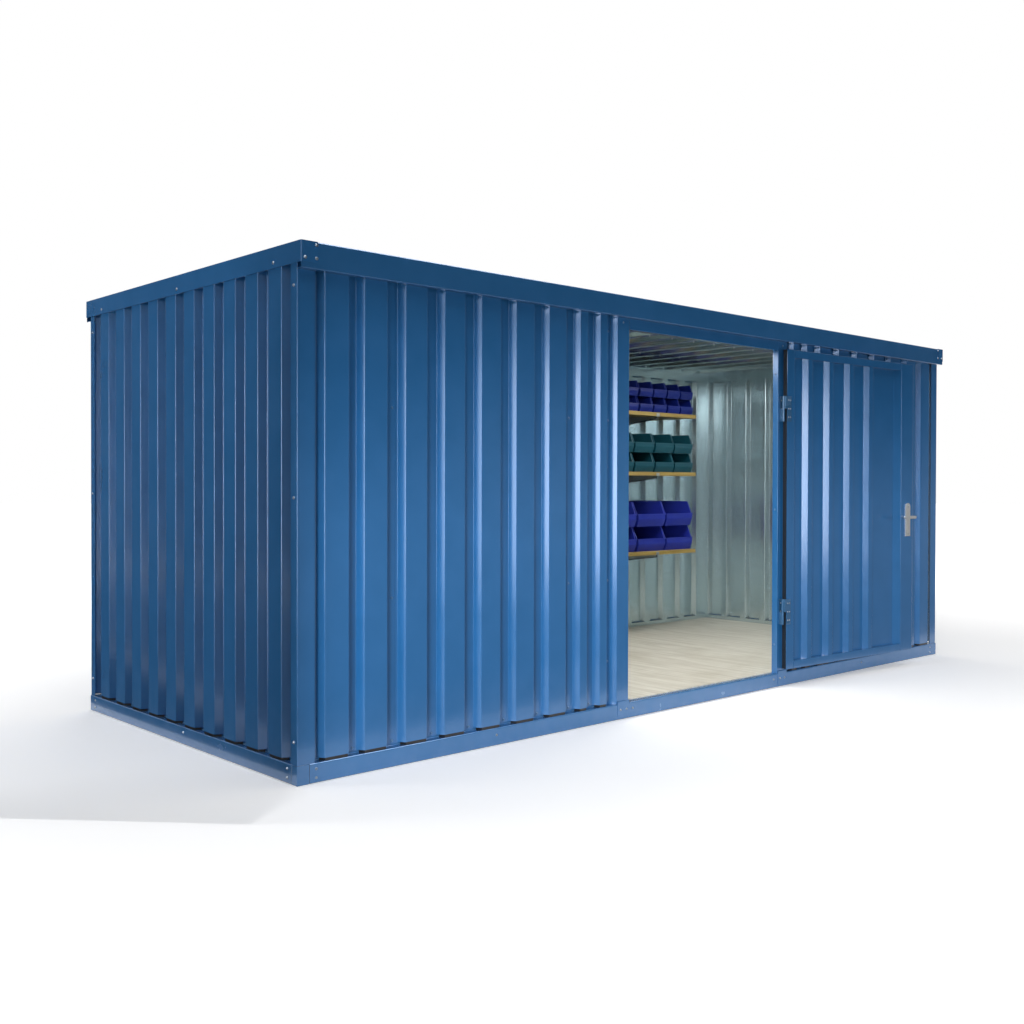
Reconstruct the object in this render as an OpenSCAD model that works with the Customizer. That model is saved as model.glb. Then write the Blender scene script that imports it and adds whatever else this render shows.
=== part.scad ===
// Flat-pack steel storage container: a bolted frame of folded sheet, trapezoidal
// sheet walls and roof, a timber floor, one outward door and three bin shelves.
// Origin: middle of the footprint, at ground level. The long front faces -Y.

/* [Frame] */
// Length over the roof frame
roof_l = 5070; // [4980:10:5280]
// Depth over the roof frame
roof_d = 2190; // [2130:10:2300]
// Height from the ground to the top of the roof frame
total_h = 2150; // [2140:5:2250]
// How far the base frame stands in from the roof frame at the ends
end_inset = 5.5; // [4:0.5:12]
// How far the base frame stands in from the roof frame at the front and rear
front_inset = 40.5; // [36:0.5:44]
// Height of the base frame
base_h = 80; // [76:1:84]
// Height of the front and rear roof beams
long_beam_h = 108; // [104:1:112]
// Height of the side roof beams
side_beam_h = 85; // [80:1:90]
// Thickness of the folded frame sections
frame_t = 3; // [2.5:0.5:3]

/* [Walls] */
// Depth of the trapezoidal sheet
rib_d = 35; // [30:1:36]
// Thickness of the wall and roof sheet
sheet_t = 1.5; // [1:0.5:2]
// Rib spacing of the front, rear and roof sheets
rib_pitch = 207; // [204:1:208]
// Rib spacing of the side sheets
side_pitch = 194; // [192:1:195]
// Width of an outer ridge on the front and rear walls
ridge_w = 112; // [100:1:118]
// Width of an outer ridge on the side walls
side_ridge_w = 104; // [98:1:108]
// Slot between the base frame and the foot of the sheets
foot_gap = 12; // [8:1:16]

/* [Doorway] */
// Clear width between the door posts
door_clear = 1276; // [1260:1:1284]
// Middle of the doorway along the front
door_x = 11; // [0:1:14]
// Underside of the lintel above the ground
lintel_z = 1988; // [1980:1:1992]
// Width of the front face of a door post
post_w = 86; // [80:1:90]

/* [Door leaf] */
// Thickness of the door leaf
leaf_t = 36; // [34:1:37]
// Gap between the door leaf and the faces of the posts
leaf_gap = 8; // [8:0.5:10]
// How far the leaf laps the lock side post
lock_lap = 31; // [24:1:34]
// Angle between the open leaf and the wall
stand_off = 3.33; // [3:0.1:6]
// Foot of the leaf above the ground
leaf_z0 = 104; // [96:1:112]
// Head of the leaf above the ground
leaf_z1 = 1996; // [1992:1:2004]

/* [Shelves] */
// Length of a shelf board
shelf_l = 2000; // [1990:5:2060]
// Depth of a shelf board
shelf_d = 500; // [500:5:540]
// Thickness of a shelf board
shelf_t = 27; // [21:1:30]
// Right end of the shelves
shelf_x1 = 1750; // [1700:10:1900]
// Top faces of the bottom, middle and top shelves
shelf_z = [708, 1286, 1721];

/* [Hidden] */

paint = "steelblue";
zinc = "lightslategray";

// Half sizes of the frames and the planes that the pieces meet on
rx = roof_l / 2;
ry = roof_d / 2;
bx = rx - end_inset;
by = ry - front_inset;
wall_inset = 6;
wx = bx - wall_inset;          // outer face of the side walls' ridges
wy = by - wall_inset;          // outer face of the long walls' ridges
lip_off = rib_d + sheet_t;     // from a ridge's outer face to the inside lips
lip_x = wx - lip_off;
lip_y = wy - lip_off;
lip_h = 32;                    // inside lip of the base frame
wall_z0 = base_h + foot_gap;
wall_z1 = total_h - 70;        // the sheets run up inside the roof beams
ceiling_z = total_h - 40;
rib_run = 20;                  // width of a sloped rib flank
deck_top = base_h + 5;
deck_t = 21;
ledge = 30;                    // carries the roof sheet

// Corners
leg_x = 58;                    // base corner piece along X
leg_y = 43;                    // base corner piece along Y
post_leg_x = 78;
post_leg_y = 50;
post_t = 1.5;
tab_w = 75;                    // end tab of a side roof beam on the front face

// Front wall ribs beside the doorway
door_l = door_x - door_clear / 2;
door_r = door_x + door_clear / 2;
first_trough = 71;             // beside each door post
narrow_w = 50;                 // two narrow ridges
narrow_pitch = 138;
near_trough = 93;              // between the narrow ridges and the wide ones
front_wide = 7;                // wide ridges on each half of the front
post_return = 30;              // inner flange of a door post
corner_lap = 20;               // the last sheet laps the one before it
left_first = 125;              // from the front wall's face to the first side ridge
right_first = 175;

// Door
face_y = -wy;                  // front faces of posts and lintel
leaf_in = face_y - leaf_gap;   // inner face of the closed leaf
leaf_out = leaf_in - leaf_t;
axis_x = door_r + 19;
axis_y = (leaf_in + leaf_out) / 2;
leaf_x0 = door_l - lock_lap;   // lock edge of the closed leaf
leaf_x1 = axis_x - 12;         // hinge edge of the closed leaf
open_turn = 180 - stand_off;
hinge_stile_w = 68;
lock_stile_w = 135;
rail_h = 46;
leaf_rib_run = 22;
hinge_z = [370, 1570];
hinge_h = 150;
knuckle_r = 8;
pin_r = 5;
pin_gap = 0.3;
lever_x = door_l + 31;
lever_z = 985;
plate_w = 48;
plate_h = 218;
plate_d = 8;

// Bins, front to back: [width, depth, height, columns]
bin_t = 3;
large_bin = [310, 470, 180, 6];
medium_bin = [217, 350, 142, 9];
small_bin = [150, 230, 113, 13];
bin_step = 20;                 // bins' lips stand behind the shelf's front edge
shelf_y0 = lip_y - shelf_d;    // front edge of the shelves
bracket_x = [shelf_x1 - 430, shelf_x1 - shelf_l + 430];

// Folded sheet: a band of thickness t on the left of a path of points
function unit(v) = v / norm(v);
function left_of(v) = [-v[1], v[0]];
function heading(p, i) = unit(p[i + 1] - p[i]);
function miter(p, i, t) =
    let (a = left_of(heading(p, max(i - 1, 0))),
         b = left_of(heading(p, min(i, len(p) - 2))),
         m = unit(a + b))
    p[i] + m * t / (m * a);
function folded(p, t) = concat(p, [for (i = [len(p) - 1:-1:0]) miter(p, i, t)]);

module section(p, t, l) {
    linear_extrude(l) polygon(folded(p, t));
}

// A section drawn in Y and Z, extruded along +X
module along_x(p, t, l) {
    rotate([90, 0, 90]) section(p, t, l);
}

// A section drawn in X and Z, extruded along +Y from y0
module along_y(p, t, l, y0) {
    translate([0, y0 + l, 0]) rotate([90, 0, 0]) section(p, t, l);
}

module rear_twin() {
    mirror([0, 1, 0]) children();
}

module right_twin() {
    mirror([1, 0, 0]) children();
}

module four_corners() {
    children();
    right_twin() children();
    rear_twin() children();
    rear_twin() right_twin() children();
}

// Trapezoidal sheet across a list of ridges [left, right], starting at s0 and ending
// at s1; ridges lie at depth 0, troughs at depth rib_d, on +Y
function ribs(ridges, run) = [for (r = ridges)
    each [[r[0] - run, rib_d], [r[0], 0], [r[1], 0], [r[1] + run, rib_d]]];
function ribbed(s0, ridges, s1) = concat([[s0, rib_d]], ribs(ridges, rib_run), [[s1, rib_d]]);

// ---------- base frame ----------

// Channel with a galvanised lip that stands inside the wall
function base_path(face, lip) =
    [[lip - 10, 0], [face, 0], [face, base_h], [lip, base_h], [lip, base_h + lip_h]];

module base_beam_long() {
    half = bx - leg_x;
    color(paint) translate([-half, 0, 0])
        along_x([for (p = base_path(by, lip_y)) [-p[0], p[1]]], -frame_t, 2 * half);
}

// The front beam comes in three lengths that meet behind the door posts' foot plates.
// The middle one has no lip, so that the floor runs out over it
module base_beam_front() {
    gap = 1;
    w = door_clear + 2 * (post_return + gap);
    difference() {
        base_beam_long();
        translate([door_x - w / 2, -lip_y - frame_t, base_h])
            cube([w, 3 * frame_t, lip_h + 1]);
        for (side = [-1, 1]) translate([door_x + side * (w - gap) / 2, -by, 0])
            cube([gap, 2 * by - 2 * lip_y + 50, 4 * base_h], center = true);
    }
}

module base_beam_side() {
    half = by - leg_y;
    color(paint) along_y([for (p = base_path(bx, lip_x)) [-p[0], p[1]]],
                         -frame_t, 2 * half, -half);
}

// Folded corner pieces, a little behind the faces of the beams that they join
module base_corners() {
    back = 2;
    x = bx - back;
    y = by - back;
    gap = 0.5;
    color(paint) four_corners() translate([-x, -y, 0])
        difference() {
            cube([leg_x - back - gap, leg_y - back - gap, base_h - 1]);
            translate([frame_t, frame_t, -1]) cube([leg_x, leg_y, base_h - frame_t]);
        }
}

// ---------- floor ----------

module floor_bearers() {
    w = 60;
    half = bx - 80;
    spread = [-960, -480, 0, 480, 960];
    color("burlywood") for (y = spread)
        translate([-half, y - w / 2, 0]) cube([2 * half, w, deck_top - deck_t]);
}

module floor_deck() {
    gap = 2;
    x = lip_x - frame_t - gap;
    y = lip_y - frame_t - gap;
    color("wheat") translate([-x, -y, deck_top - deck_t]) cube([2 * x, 2 * y, deck_t]);
}

// ---------- corner posts ----------

module corner_post() {
    x = wx + post_t;
    y = wy + post_t;
    color(paint) translate([0, 0, base_h])
        section([[-x + post_leg_x, -y], [-x, -y], [-x, -y + post_leg_y]],
                -post_t, wall_z1 - base_h);
}

// ---------- walls ----------

// Wide ridges from the doorway out to the corner, measured from the door post
function narrow_ridge(k) = let (a = first_trough + k * narrow_pitch) [a, a + narrow_w];
function wide_ridge(k) =
    let (lap = k == front_wide - 1 ? corner_lap : 0,
         a = narrow_ridge(1)[1] + near_trough + k * rib_pitch - lap)
    [a, a + ridge_w];

module front_wall(post_edge) {
    near = [for (k = [0:1]) narrow_ridge(k)];
    wide = [for (k = [0:front_wide - 1]) wide_ridge(k)];
    color(paint) translate([post_edge, -wy, wall_z0])
        mirror([1, 0, 0])
            section(ribbed(6, concat(near, wide), lip_x - 1 + post_edge), sheet_t,
                    wall_z1 - wall_z0);
}

// Where a cut ridge is left over at the rear, the sheet ends on it
module side_wall(first) {
    end = wy - 4;
    start = -wy + first;
    whole = floor((end - rib_run - side_ridge_w - start) / side_pitch);
    ridges = [for (k = [0:whole]) [start + k * side_pitch, start + k * side_pitch + side_ridge_w]];
    cut = start + (whole + 1) * side_pitch;
    tail = cut < end ? [[cut - rib_run, rib_d], [cut, 0], [end, 0]] : [[end, rib_d]];
    color(paint) translate([-wx, 0, wall_z0]) rotate([0, 0, 90]) mirror([0, 1, 0])
        section(concat([[-end, rib_d]], ribs(ridges, rib_run), tail), sheet_t, wall_z1 - wall_z0);
}

module rear_wall() {
    n = 11;
    ridges = [for (k = [-n:n]) [k * rib_pitch - ridge_w / 2, k * rib_pitch + ridge_w / 2]];
    color(paint) rear_twin() translate([0, -wy, wall_z0])
        section(ribbed(-lip_x + 1, ridges, lip_x - 1), sheet_t, wall_z1 - wall_z0);
}

// ---------- roof ----------

// Outer web, top flange and a galvanised inner web with a ledge for the roof sheet.
// The inner webs and ledges of the four beams meet inside the walls.
module roof_beam_long() {
    face = ry - frame_t;
    z0 = total_h - long_beam_h;
    half = rx - frame_t;
    web = lip_x - 0.5;
    shelf = lip_x - frame_t - 0.5;
    color(paint) {
        translate([-half, 0, 0])
            along_x([[-wy - 2, z0], [-face, z0], [-face, total_h], [-lip_y + frame_t, total_h]],
                    -frame_t, 2 * half);
        translate([-web, -lip_y, z0 - 2]) cube([2 * web, frame_t, long_beam_h + 1]);
        translate([-shelf, -lip_y + 1, ceiling_z - frame_t]) cube([2 * shelf, ledge, frame_t]);
    }
}

// The side beams close the ends of the long beams and wrap round their faces
module roof_beam_side() {
    z0 = total_h - side_beam_h;
    web = lip_y - frame_t - 0.5;
    shelf = web - ledge + 2;
    under = rx - wx - post_t - 0.5;
    color(paint) {
        translate([0, 0, z0]) {
            translate([-rx, -ry, 0]) cube([frame_t, 2 * ry, side_beam_h]);
            for (y = [-ry, ry - frame_t])
                translate([-rx, y, 0]) cube([tab_w, frame_t, side_beam_h]);
            translate([-rx, -web, 0]) cube([under, 2 * web, frame_t]);
        }
        along_y([[-rx + frame_t / 2, total_h], [-lip_x + frame_t, total_h],
                 [-lip_x + frame_t, total_h - long_beam_h - 2]], -frame_t, 2 * web, -web);
        translate([-lip_x + frame_t / 2, -shelf, ceiling_z - frame_t])
            cube([ledge, 2 * shelf, frame_t]);
    }
}

module roof_sheet() {
    x = lip_x - frame_t - 3;
    y = lip_y - frame_t - 1;
    n = 11;
    ridges = [for (k = [-n:n]) [k * rib_pitch - 60, k * rib_pitch + 60]];
    color(zinc) translate([0, y, ceiling_z + rib_d + sheet_t]) rotate([90, 0, 0])
        mirror([0, 1, 0]) section(ribbed(-x, ridges, x), sheet_t, 2 * y);
}

// ---------- door frame ----------

// Post with a sloped flank and a foot flange that laps the wall sheet, and a
// reveal towards the doorway; drawn for a doorway that lies on +X of edge
module door_post(edge) {
    reveal = 40;
    foot = first_trough - 2 * rib_run - 3;
    outer = edge - post_w;
    head = total_h - long_beam_h - 3;
    color(paint) {
        difference() {
            translate([0, -wy, base_h]) section(
                [[outer - rib_run - foot, rib_d - sheet_t], [outer - rib_run, rib_d - sheet_t],
                 [outer, 0], [edge, 0], [edge, reveal], [edge - post_return, reveal]],
                sheet_t, wall_z1 - base_h);
            translate([edge - post_w / 2, -lip_y - 1, head]) cube([post_w, reveal, wall_z1]);
        }
        translate([outer, -by - 2, 14]) cube([post_w, 2, base_h]);
        translate([outer, -by - 2, base_h + 12]) cube([post_w, by - wy + 2 + sheet_t, 2]);
    }
}

module door_post_left() {
    door_post(door_l);
}

module door_post_right() {
    right_twin() door_post(-door_r);
}

module door_lintel() {
    gap = 0.5;
    color(paint) translate([door_l + gap, 0, 0]) along_x(
        [[-wy + 40, lintel_z], [-wy, lintel_z], [-wy, wall_z1]], -2, door_clear - 2 * gap);
}

// Fixed half of each lift-off hinge: plate on the post, lower knuckle and pin
module hinge_plates() {
    plate_t = 2.5;
    half = hinge_h / 2;
    color(paint) for (z = hinge_z) translate([axis_x, axis_y, z]) {
        cylinder(r = knuckle_r, h = half - 0.5, $fn = 32);
        cylinder(r = pin_r, h = hinge_h - 6, $fn = 32);
        translate([-2, 0, 0]) cube([4, face_y - axis_y, half - 0.5]);
        translate([-4, face_y - axis_y - plate_t, 0]) cube([42, plate_t, hinge_h]);
    }
}

// ---------- shelves ----------

module shelf(k) {
    color("goldenrod") translate([shelf_x1 - shelf_l, shelf_y0, shelf_z[k] - shelf_t])
        cube([shelf_l, shelf_d - 1, shelf_t]);
}

// Tapered consoles under the boards, screwed to the ribs of the rear wall
module shelf_brackets() {
    deep = 75;
    tip = 16;
    web = 4;
    foot = 26;
    color("dimgray") for (x = bracket_x, z = shelf_z)
        translate([x - web / 2, shelf_y0 + 6, z - shelf_t]) rotate([90, 0, 90]) {
            reach = shelf_d - 7;
            linear_extrude(web) polygon([[0, -tip], [reach, -deep], [reach, 0], [0, 0]]);
            translate([0, 0, (web - foot) / 2]) linear_extrude(foot)
                polygon([[0, -tip], [reach, -deep], [reach, -deep - 4], [0, -tip - 4]]);
        }
}

// Open-fronted stacking bin, its lip at y = 0 and its back on +Y
module bin(size) {
    w = size[0] - 3;
    d = size[1];
    h = size[2] - 1;
    lean = h * 0.16;
    side = [[lean, 0], [0, h * 0.36], [0, h * 0.62], [lean * 1.2, h], [d, h], [d, 0]];
    rotate([90, 0, 90]) difference() {
        linear_extrude(w) polygon(side);
        translate([0, 0, bin_t]) linear_extrude(w - 2 * bin_t)
            polygon([[lean + bin_t, bin_t], [bin_t, h * 0.36], [bin_t, h * 0.62],
                     [-bin_t, h * 0.62], [-bin_t, h + 1],
                     [d - bin_t, h + 1], [d - bin_t, bin_t]]);
    }
}

module bin_row(size, shelf_no, level, tone) {
    x1 = shelf_x1 - 3;
    color(tone) for (k = [1:size[3]])
        translate([x1 - k * size[0] + 1.5, shelf_y0 + bin_step,
                   shelf_z[shelf_no] + level * size[2]])
            bin(size);
}

// ---------- door leaf ----------
// Each piece is drawn on the closed leaf and swung open about the hinge pins.

module swung_open() {
    translate([axis_x, axis_y, 0]) rotate([0, 0, open_turn])
        translate([-axis_x, -axis_y, 0]) children();
}

// Channel open towards the hinge edge
module door_hinge_stile() {
    color(paint) swung_open() translate([0, 0, leaf_z0])
        section([[leaf_x1, leaf_out], [leaf_x1 - hinge_stile_w, leaf_out],
                 [leaf_x1 - hinge_stile_w, leaf_in], [leaf_x1, leaf_in]],
                -2, leaf_z1 - leaf_z0);
}

// Box that holds the lock
module door_lock_stile() {
    color(paint) swung_open() translate([leaf_x0, leaf_out, leaf_z0])
        difference() {
            cube([lock_stile_w, leaf_t, leaf_z1 - leaf_z0]);
            translate([2, 2, -1]) cube([lock_stile_w - 4, leaf_t - 4, leaf_z1 - leaf_z0 + 2]);
            translate([lever_x - leaf_x0, -1, lever_z - leaf_z0]) rotate([-90, 0, 0])
                cylinder(r = 9, h = leaf_t + 2, $fn = 24);
        }
}

module door_rail(z) {
    x0 = leaf_x0 + lock_stile_w + 0.5;
    x1 = leaf_x1 - hinge_stile_w - 0.5;
    color(paint) swung_open() translate([x0, leaf_out, z])
        difference() {
            cube([x1 - x0, leaf_t, rail_h]);
            translate([-1, 2, 2]) cube([x1 - x0 + 2, leaf_t - 4, rail_h - 4]);
        }
}

// Trapezoidal sheet between the stiles and rails, its ribs towards the room
module door_sheet() {
    x0 = leaf_x0 + lock_stile_w + 0.5;
    x1 = leaf_x1 - hinge_stile_w - 0.5;
    top = leaf_t - sheet_t - 2;
    rib = 84;
    bottom_w = 44;
    first = 222 - hinge_stile_w - rib / 2;
    slope = 84;
    span = x1 - x0;
    ribs_in = [for (k = [0:3]) let (a = span - first - k * rib_pitch) [a - rib, a]];
    path = concat([[0, top], [2, top], [2 + slope - 44, 0]],
        [for (k = [3:-1:0]) let (a = ribs_in[k][0], b = ribs_in[k][1])
            each [[a, 0], [a + leaf_rib_run, top], [b - leaf_rib_run, top], [b, 0]]],
        [[span - 14, 0], [span - 2, top], [span, top]]);
    color(paint) swung_open()
        translate([x0, leaf_out + 0.5, leaf_z0 + rail_h + 0.5])
            section(path, sheet_t, leaf_z1 - leaf_z0 - 2 * rail_h - 1);
}

// Black rubber strip in the mouth of the hinge stile
module door_seal() {
    color("black") swung_open() translate([leaf_x1 - 12, leaf_out + 2.5, leaf_z0 + 2])
        cube([10, leaf_t - 5, leaf_z1 - leaf_z0 - 4]);
}

// Moving half of each hinge: upper knuckle with its bore and the plate on the leaf
module door_hinge_leaves() {
    plate_t = 2.5;
    half = hinge_h / 2;
    color(paint) swung_open() for (z = hinge_z) difference() {
        union() {
            translate([axis_x, axis_y, z + half + 0.5])
                cylinder(r = knuckle_r, h = half - 0.5, $fn = 32);
            translate([leaf_x1 - 36, leaf_in, z]) cube([36, plate_t, hinge_h]);
            translate([leaf_x1 - 1, leaf_in, z + half + 0.5]) cube([13, plate_t, half - 0.5]);
            translate([axis_x - 2, axis_y, z + half + 0.5])
                cube([4, leaf_in - axis_y + plate_t, half - 0.5]);
        }
        translate([axis_x, axis_y, z + half])
            cylinder(r = pin_r + pin_gap, h = half - 4, $fn = 32);
    }
}

module handle_plate() {
    r = plate_w / 2;
    rotate([90, 0, 0]) linear_extrude(plate_d) difference() {
        union() {
            translate([-r, -plate_h * 0.58]) square([plate_w, plate_h - r]);
            translate([0, plate_h * 0.42 - r]) circle(r = r, $fn = 48);
        }
        circle(r = 9, $fn = 32);
    }
}

module lever_plates() {
    color("silver") swung_open() translate([lever_x, 0, lever_z]) {
        translate([0, leaf_out, 0]) handle_plate();
        translate([0, leaf_in + plate_d, 0]) handle_plate();
    }
}

// Both levers on one spindle, each a flat grip with round ends
module door_levers() {
    reach = 46;
    grip = 112;
    grip_t = 11;
    r = 9;
    into = 2;
    color("silver") swung_open() translate([lever_x, 0, lever_z]) {
        translate([0, leaf_out - plate_d - reach - into, 0]) rotate([-90, 0, 0])
            cylinder(r = r - 1, h = leaf_t + 2 * (plate_d + reach + into), $fn = 32);
        for (y = [leaf_out - plate_d - reach, leaf_in + plate_d + reach + grip_t])
            translate([0, y, 0]) rotate([90, 0, 0]) linear_extrude(grip_t) {
                circle(r = r, $fn = 32);
                translate([0, -r]) square([grip, 2 * r]);
                translate([grip, 0]) circle(r = r, $fn = 32);
            }
    }
}

base_beam_front();
rear_twin() base_beam_long();  // base_beam_rear
base_beam_side();  // base_beam_left
right_twin() base_beam_side();  // base_beam_right
base_corners();
floor_bearers();
floor_deck();
corner_post();  // corner_post_front_left
right_twin() corner_post();  // corner_post_front_right
rear_twin() corner_post();  // corner_post_rear_left
rear_twin() right_twin() corner_post();  // corner_post_rear_right
front_wall(door_l - post_w);  // front_wall_left
right_twin() front_wall(-door_r - post_w);  // front_wall_right
side_wall(left_first);  // left_wall
right_twin() side_wall(right_first);  // right_wall
rear_wall();
roof_beam_long();  // roof_beam_front
rear_twin() roof_beam_long();  // roof_beam_rear
roof_beam_side();  // roof_beam_left
right_twin() roof_beam_side();  // roof_beam_right
roof_sheet();
door_post_left();
door_post_right();
door_lintel();
hinge_plates();
shelf(0);  // shelf_bottom
shelf(1);  // shelf_middle
shelf(2);  // shelf_top
shelf_brackets();
bin_row(large_bin, 0, 0, "mediumblue");  // bins_large_lower
bin_row(large_bin, 0, 1, "mediumblue");  // bins_large_upper
bin_row(medium_bin, 1, 0, "teal");  // bins_medium_lower
bin_row(medium_bin, 1, 1, "teal");  // bins_medium_upper
bin_row(small_bin, 2, 0, "navy");  // bins_small_lower
bin_row(small_bin, 2, 1, "navy");  // bins_small_upper
door_hinge_stile();
door_lock_stile();
door_rail(leaf_z1 - rail_h);  // door_top_rail
door_rail(leaf_z0);  // door_bottom_rail
door_sheet();
door_seal();
door_hinge_leaves();
lever_plates();
door_levers();
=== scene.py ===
# Flat-pack steel storage container: a bolted frame of folded sheet, trapezoidal sheet
# walls and roof, a timber floor, one wide door and shelves of stacking bins.
import math

import bmesh
import bpy
from mathutils import Matrix, Vector


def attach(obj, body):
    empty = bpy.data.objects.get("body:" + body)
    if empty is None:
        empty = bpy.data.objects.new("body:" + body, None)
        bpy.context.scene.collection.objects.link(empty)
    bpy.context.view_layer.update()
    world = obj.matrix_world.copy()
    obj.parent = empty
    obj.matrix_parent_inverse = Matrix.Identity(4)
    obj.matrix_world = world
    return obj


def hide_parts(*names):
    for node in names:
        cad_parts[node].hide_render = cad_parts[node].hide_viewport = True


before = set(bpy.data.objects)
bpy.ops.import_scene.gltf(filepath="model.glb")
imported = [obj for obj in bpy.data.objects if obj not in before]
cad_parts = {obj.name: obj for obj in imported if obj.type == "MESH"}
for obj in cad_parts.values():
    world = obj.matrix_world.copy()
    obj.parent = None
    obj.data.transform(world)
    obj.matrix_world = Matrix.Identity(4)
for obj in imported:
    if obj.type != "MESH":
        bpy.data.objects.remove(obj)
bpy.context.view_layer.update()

# ---------------- camera
# It stands 1.2 m high off the near corner and looks along both faces, with the lens
# shifted so that the uprights stay upright.
STAND = Vector((-4.826, -5.037, 1.201))
TURN, TILT, ROLL = (math.radians(a) for a in (44.627, -0.664, 0.173))
ahead = Vector((math.sin(TURN) * math.cos(TILT), math.cos(TURN) * math.cos(TILT), math.sin(TILT)))
level = Vector((math.cos(TURN), -math.sin(TURN), 0.0))
above = level.cross(ahead)
right = level * math.cos(ROLL) + above * math.sin(ROLL)
up = above * math.cos(ROLL) - level * math.sin(ROLL)


def put(name, data):
    """A new thing in the scene."""
    thing = bpy.data.objects.new(name, data)
    bpy.context.scene.collection.objects.link(thing)
    return thing


lens = bpy.data.cameras.new("camera")
lens.sensor_width = 36.0
lens.lens = 39.7617
lens.shift_x, lens.shift_y = -0.078613, -0.015088
lens.clip_end = 200
camera = put("camera", lens)
camera.matrix_world = Matrix.Translation(STAND) @ Matrix((right, up, -ahead)).transposed().to_4x4()
bpy.context.scene.camera = camera

# ---------------- ground and light
# A pale level ground that takes the container's shadow from the lamps. Its own glow is even
# close by, and rises only farther off to a white background. Soft lamps and an even sky
# light the container. Nothing here belongs to it.
bpy.context.scene.view_settings.view_transform = "Standard"


def feed(tree, fed, values):
    """Gives inputs their values; a node or socket among them is linked instead."""
    for name, value in values.items():
        if isinstance(value, bpy.types.Node):
            value = value.outputs[0]
        if isinstance(value, bpy.types.NodeSocket):
            tree.links.new(value, fed.inputs[name])
        else:
            fed.inputs[name].default_value = value


def node(tree, kind, values=None, **settings):
    """A new node with its settings made and its inputs fed."""
    new = tree.nodes.new(kind)
    for name, value in settings.items():
        setattr(new, name, value)
    feed(tree, new, values or {})
    return new


def maths(tree, operation, *terms, **settings):
    """A sum on numbers."""
    values = dict(enumerate(terms))
    return node(tree, "ShaderNodeMath", values, operation=operation, **settings)


def vectors(tree, operation, *terms):
    """A sum on vectors."""
    return node(tree, "ShaderNodeVectorMath", dict(enumerate(terms)), operation=operation)


def own_place(tree):
    """Where a spot lies on the piece itself."""
    return node(tree, "ShaderNodeTexCoord").outputs["Object"]


def eased(tree, value, start, end, first, last):
    """Changes smoothly from first to last while a value goes from start to end."""
    values = {"Value": value, "From Min": start, "From Max": end, "To Min": first, "To Max": last}
    return node(tree, "ShaderNodeMapRange", values, interpolation_type="SMOOTHSTEP")


def bare_material(name):
    """A material with no nodes yet, and its tree."""
    material = bpy.data.materials.new(name)
    material.use_nodes = True
    material.node_tree.nodes.clear()
    return material, material.node_tree


def staged(name, corners, material):
    """A flat sheet of the studio."""
    mesh = bpy.data.meshes.new(name)
    mesh.from_pydata(corners, [], [(0, 1, 2, 3)])
    mesh.materials.append(material)
    thing = put(name, mesh)
    return thing


INNER_GLOW, FOOTPRINT = 0.24, (2.50, 1.03, 0)
pale, tree = bare_material("pale ground")
beyond = vectors(tree, "SUBTRACT", vectors(tree, "ABSOLUTE", own_place(tree)), FOOTPRINT)
outside = vectors(tree, "MAXIMUM", beyond, (0, 0, 0))
away = vectors(tree, "LENGTH", outside).outputs["Value"]
near_rise, far_rise = (
    eased(tree, away, start, full, 0.0, amount)
    for start, full, amount in ((0.8, 2.6, 0.14), (2.0, 6.0, 0.80))
)
strength = maths(tree, "ADD", maths(tree, "ADD", near_rise, far_rise), INNER_GLOW)
glow = node(tree, "ShaderNodeEmission", {"Color": (1, 1, 1, 1), "Strength": strength})
paler = node(tree, "ShaderNodeBsdfDiffuse", {"Color": (0.90, 0.89, 0.88, 1)})
matt = node(tree, "ShaderNodeBsdfDiffuse", {"Color": (0.36, 0.36, 0.36, 1)})
both = node(tree, "ShaderNodeAddShader", {0: paler, 1: glow})
seen = node(tree, "ShaderNodeLightPath").outputs
either = maths(tree, "MAXIMUM", seen["Is Camera Ray"], seen["Is Glossy Ray"])
lit = node(tree, "ShaderNodeMixShader", {"Fac": either, 1: matt, 2: both})
node(tree, "ShaderNodeOutputMaterial", {"Surface": lit})
GROUND_HALF = 60
ground = staged(
    "ground",
    [(x * GROUND_HALF, y * GROUND_HALF, 0) for x, y in ((-1, -1), (1, -1), (1, 1), (-1, 1))],
    pale,
)
ground.location.z = -0.001

world = bpy.data.worlds.new("studio")
bpy.context.scene.world = world
world.use_nodes = True
tree = world.node_tree
tree.nodes.clear()
fill = node(tree, "ShaderNodeBackground", {"Color": (0.94, 0.97, 1.0, 1), "Strength": 0.22})
white = node(tree, "ShaderNodeBackground", {"Color": (1, 1, 1, 1), "Strength": 1.0})
seen = node(tree, "ShaderNodeLightPath").outputs
shiny = maths(tree, "MAXIMUM", seen["Is Glossy Ray"], seen["Is Transmission Ray"])
either = maths(tree, "MAXIMUM", seen["Is Camera Ray"], shiny)
sky = node(tree, "ShaderNodeMixShader", {"Fac": either, 1: fill, 2: white})
node(tree, "ShaderNodeOutputWorld", {"Surface": sky})

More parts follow.
